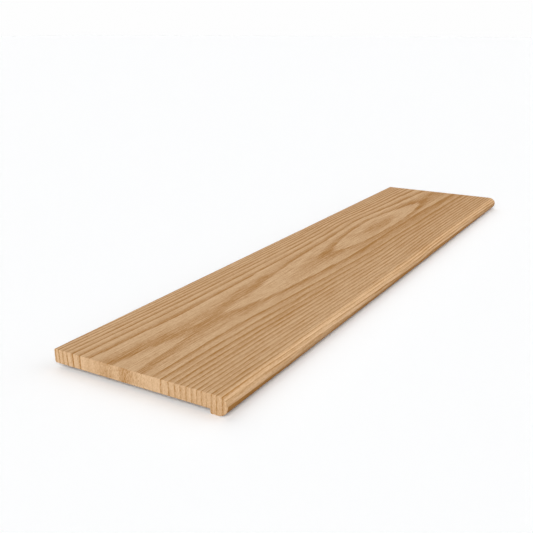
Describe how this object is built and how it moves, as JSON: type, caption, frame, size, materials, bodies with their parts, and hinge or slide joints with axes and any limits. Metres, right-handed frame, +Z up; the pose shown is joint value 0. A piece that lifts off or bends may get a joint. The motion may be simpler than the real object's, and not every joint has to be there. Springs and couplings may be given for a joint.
{
  "type": "stair tread",
  "caption": "Solid wood stair tread: a long flat board with a rounded nose, a lip that hangs below it at the front, and a shallow rebate under the board.",
  "frame": {"origin": "under the middle of the tread, level with the underside of the nose", "axes": "+X along the tread, +Y from the nose to the back edge, +Z up through the walking surface"},
  "size_m": [1.3, 0.3, 0.028],
  "materials": {
    "wood": "sanded pale softwood with flat-sawn growth rings, satin"
  },
  "bodies": {
    "root": {"tread": "wood"}
  },
  "joints": []
}
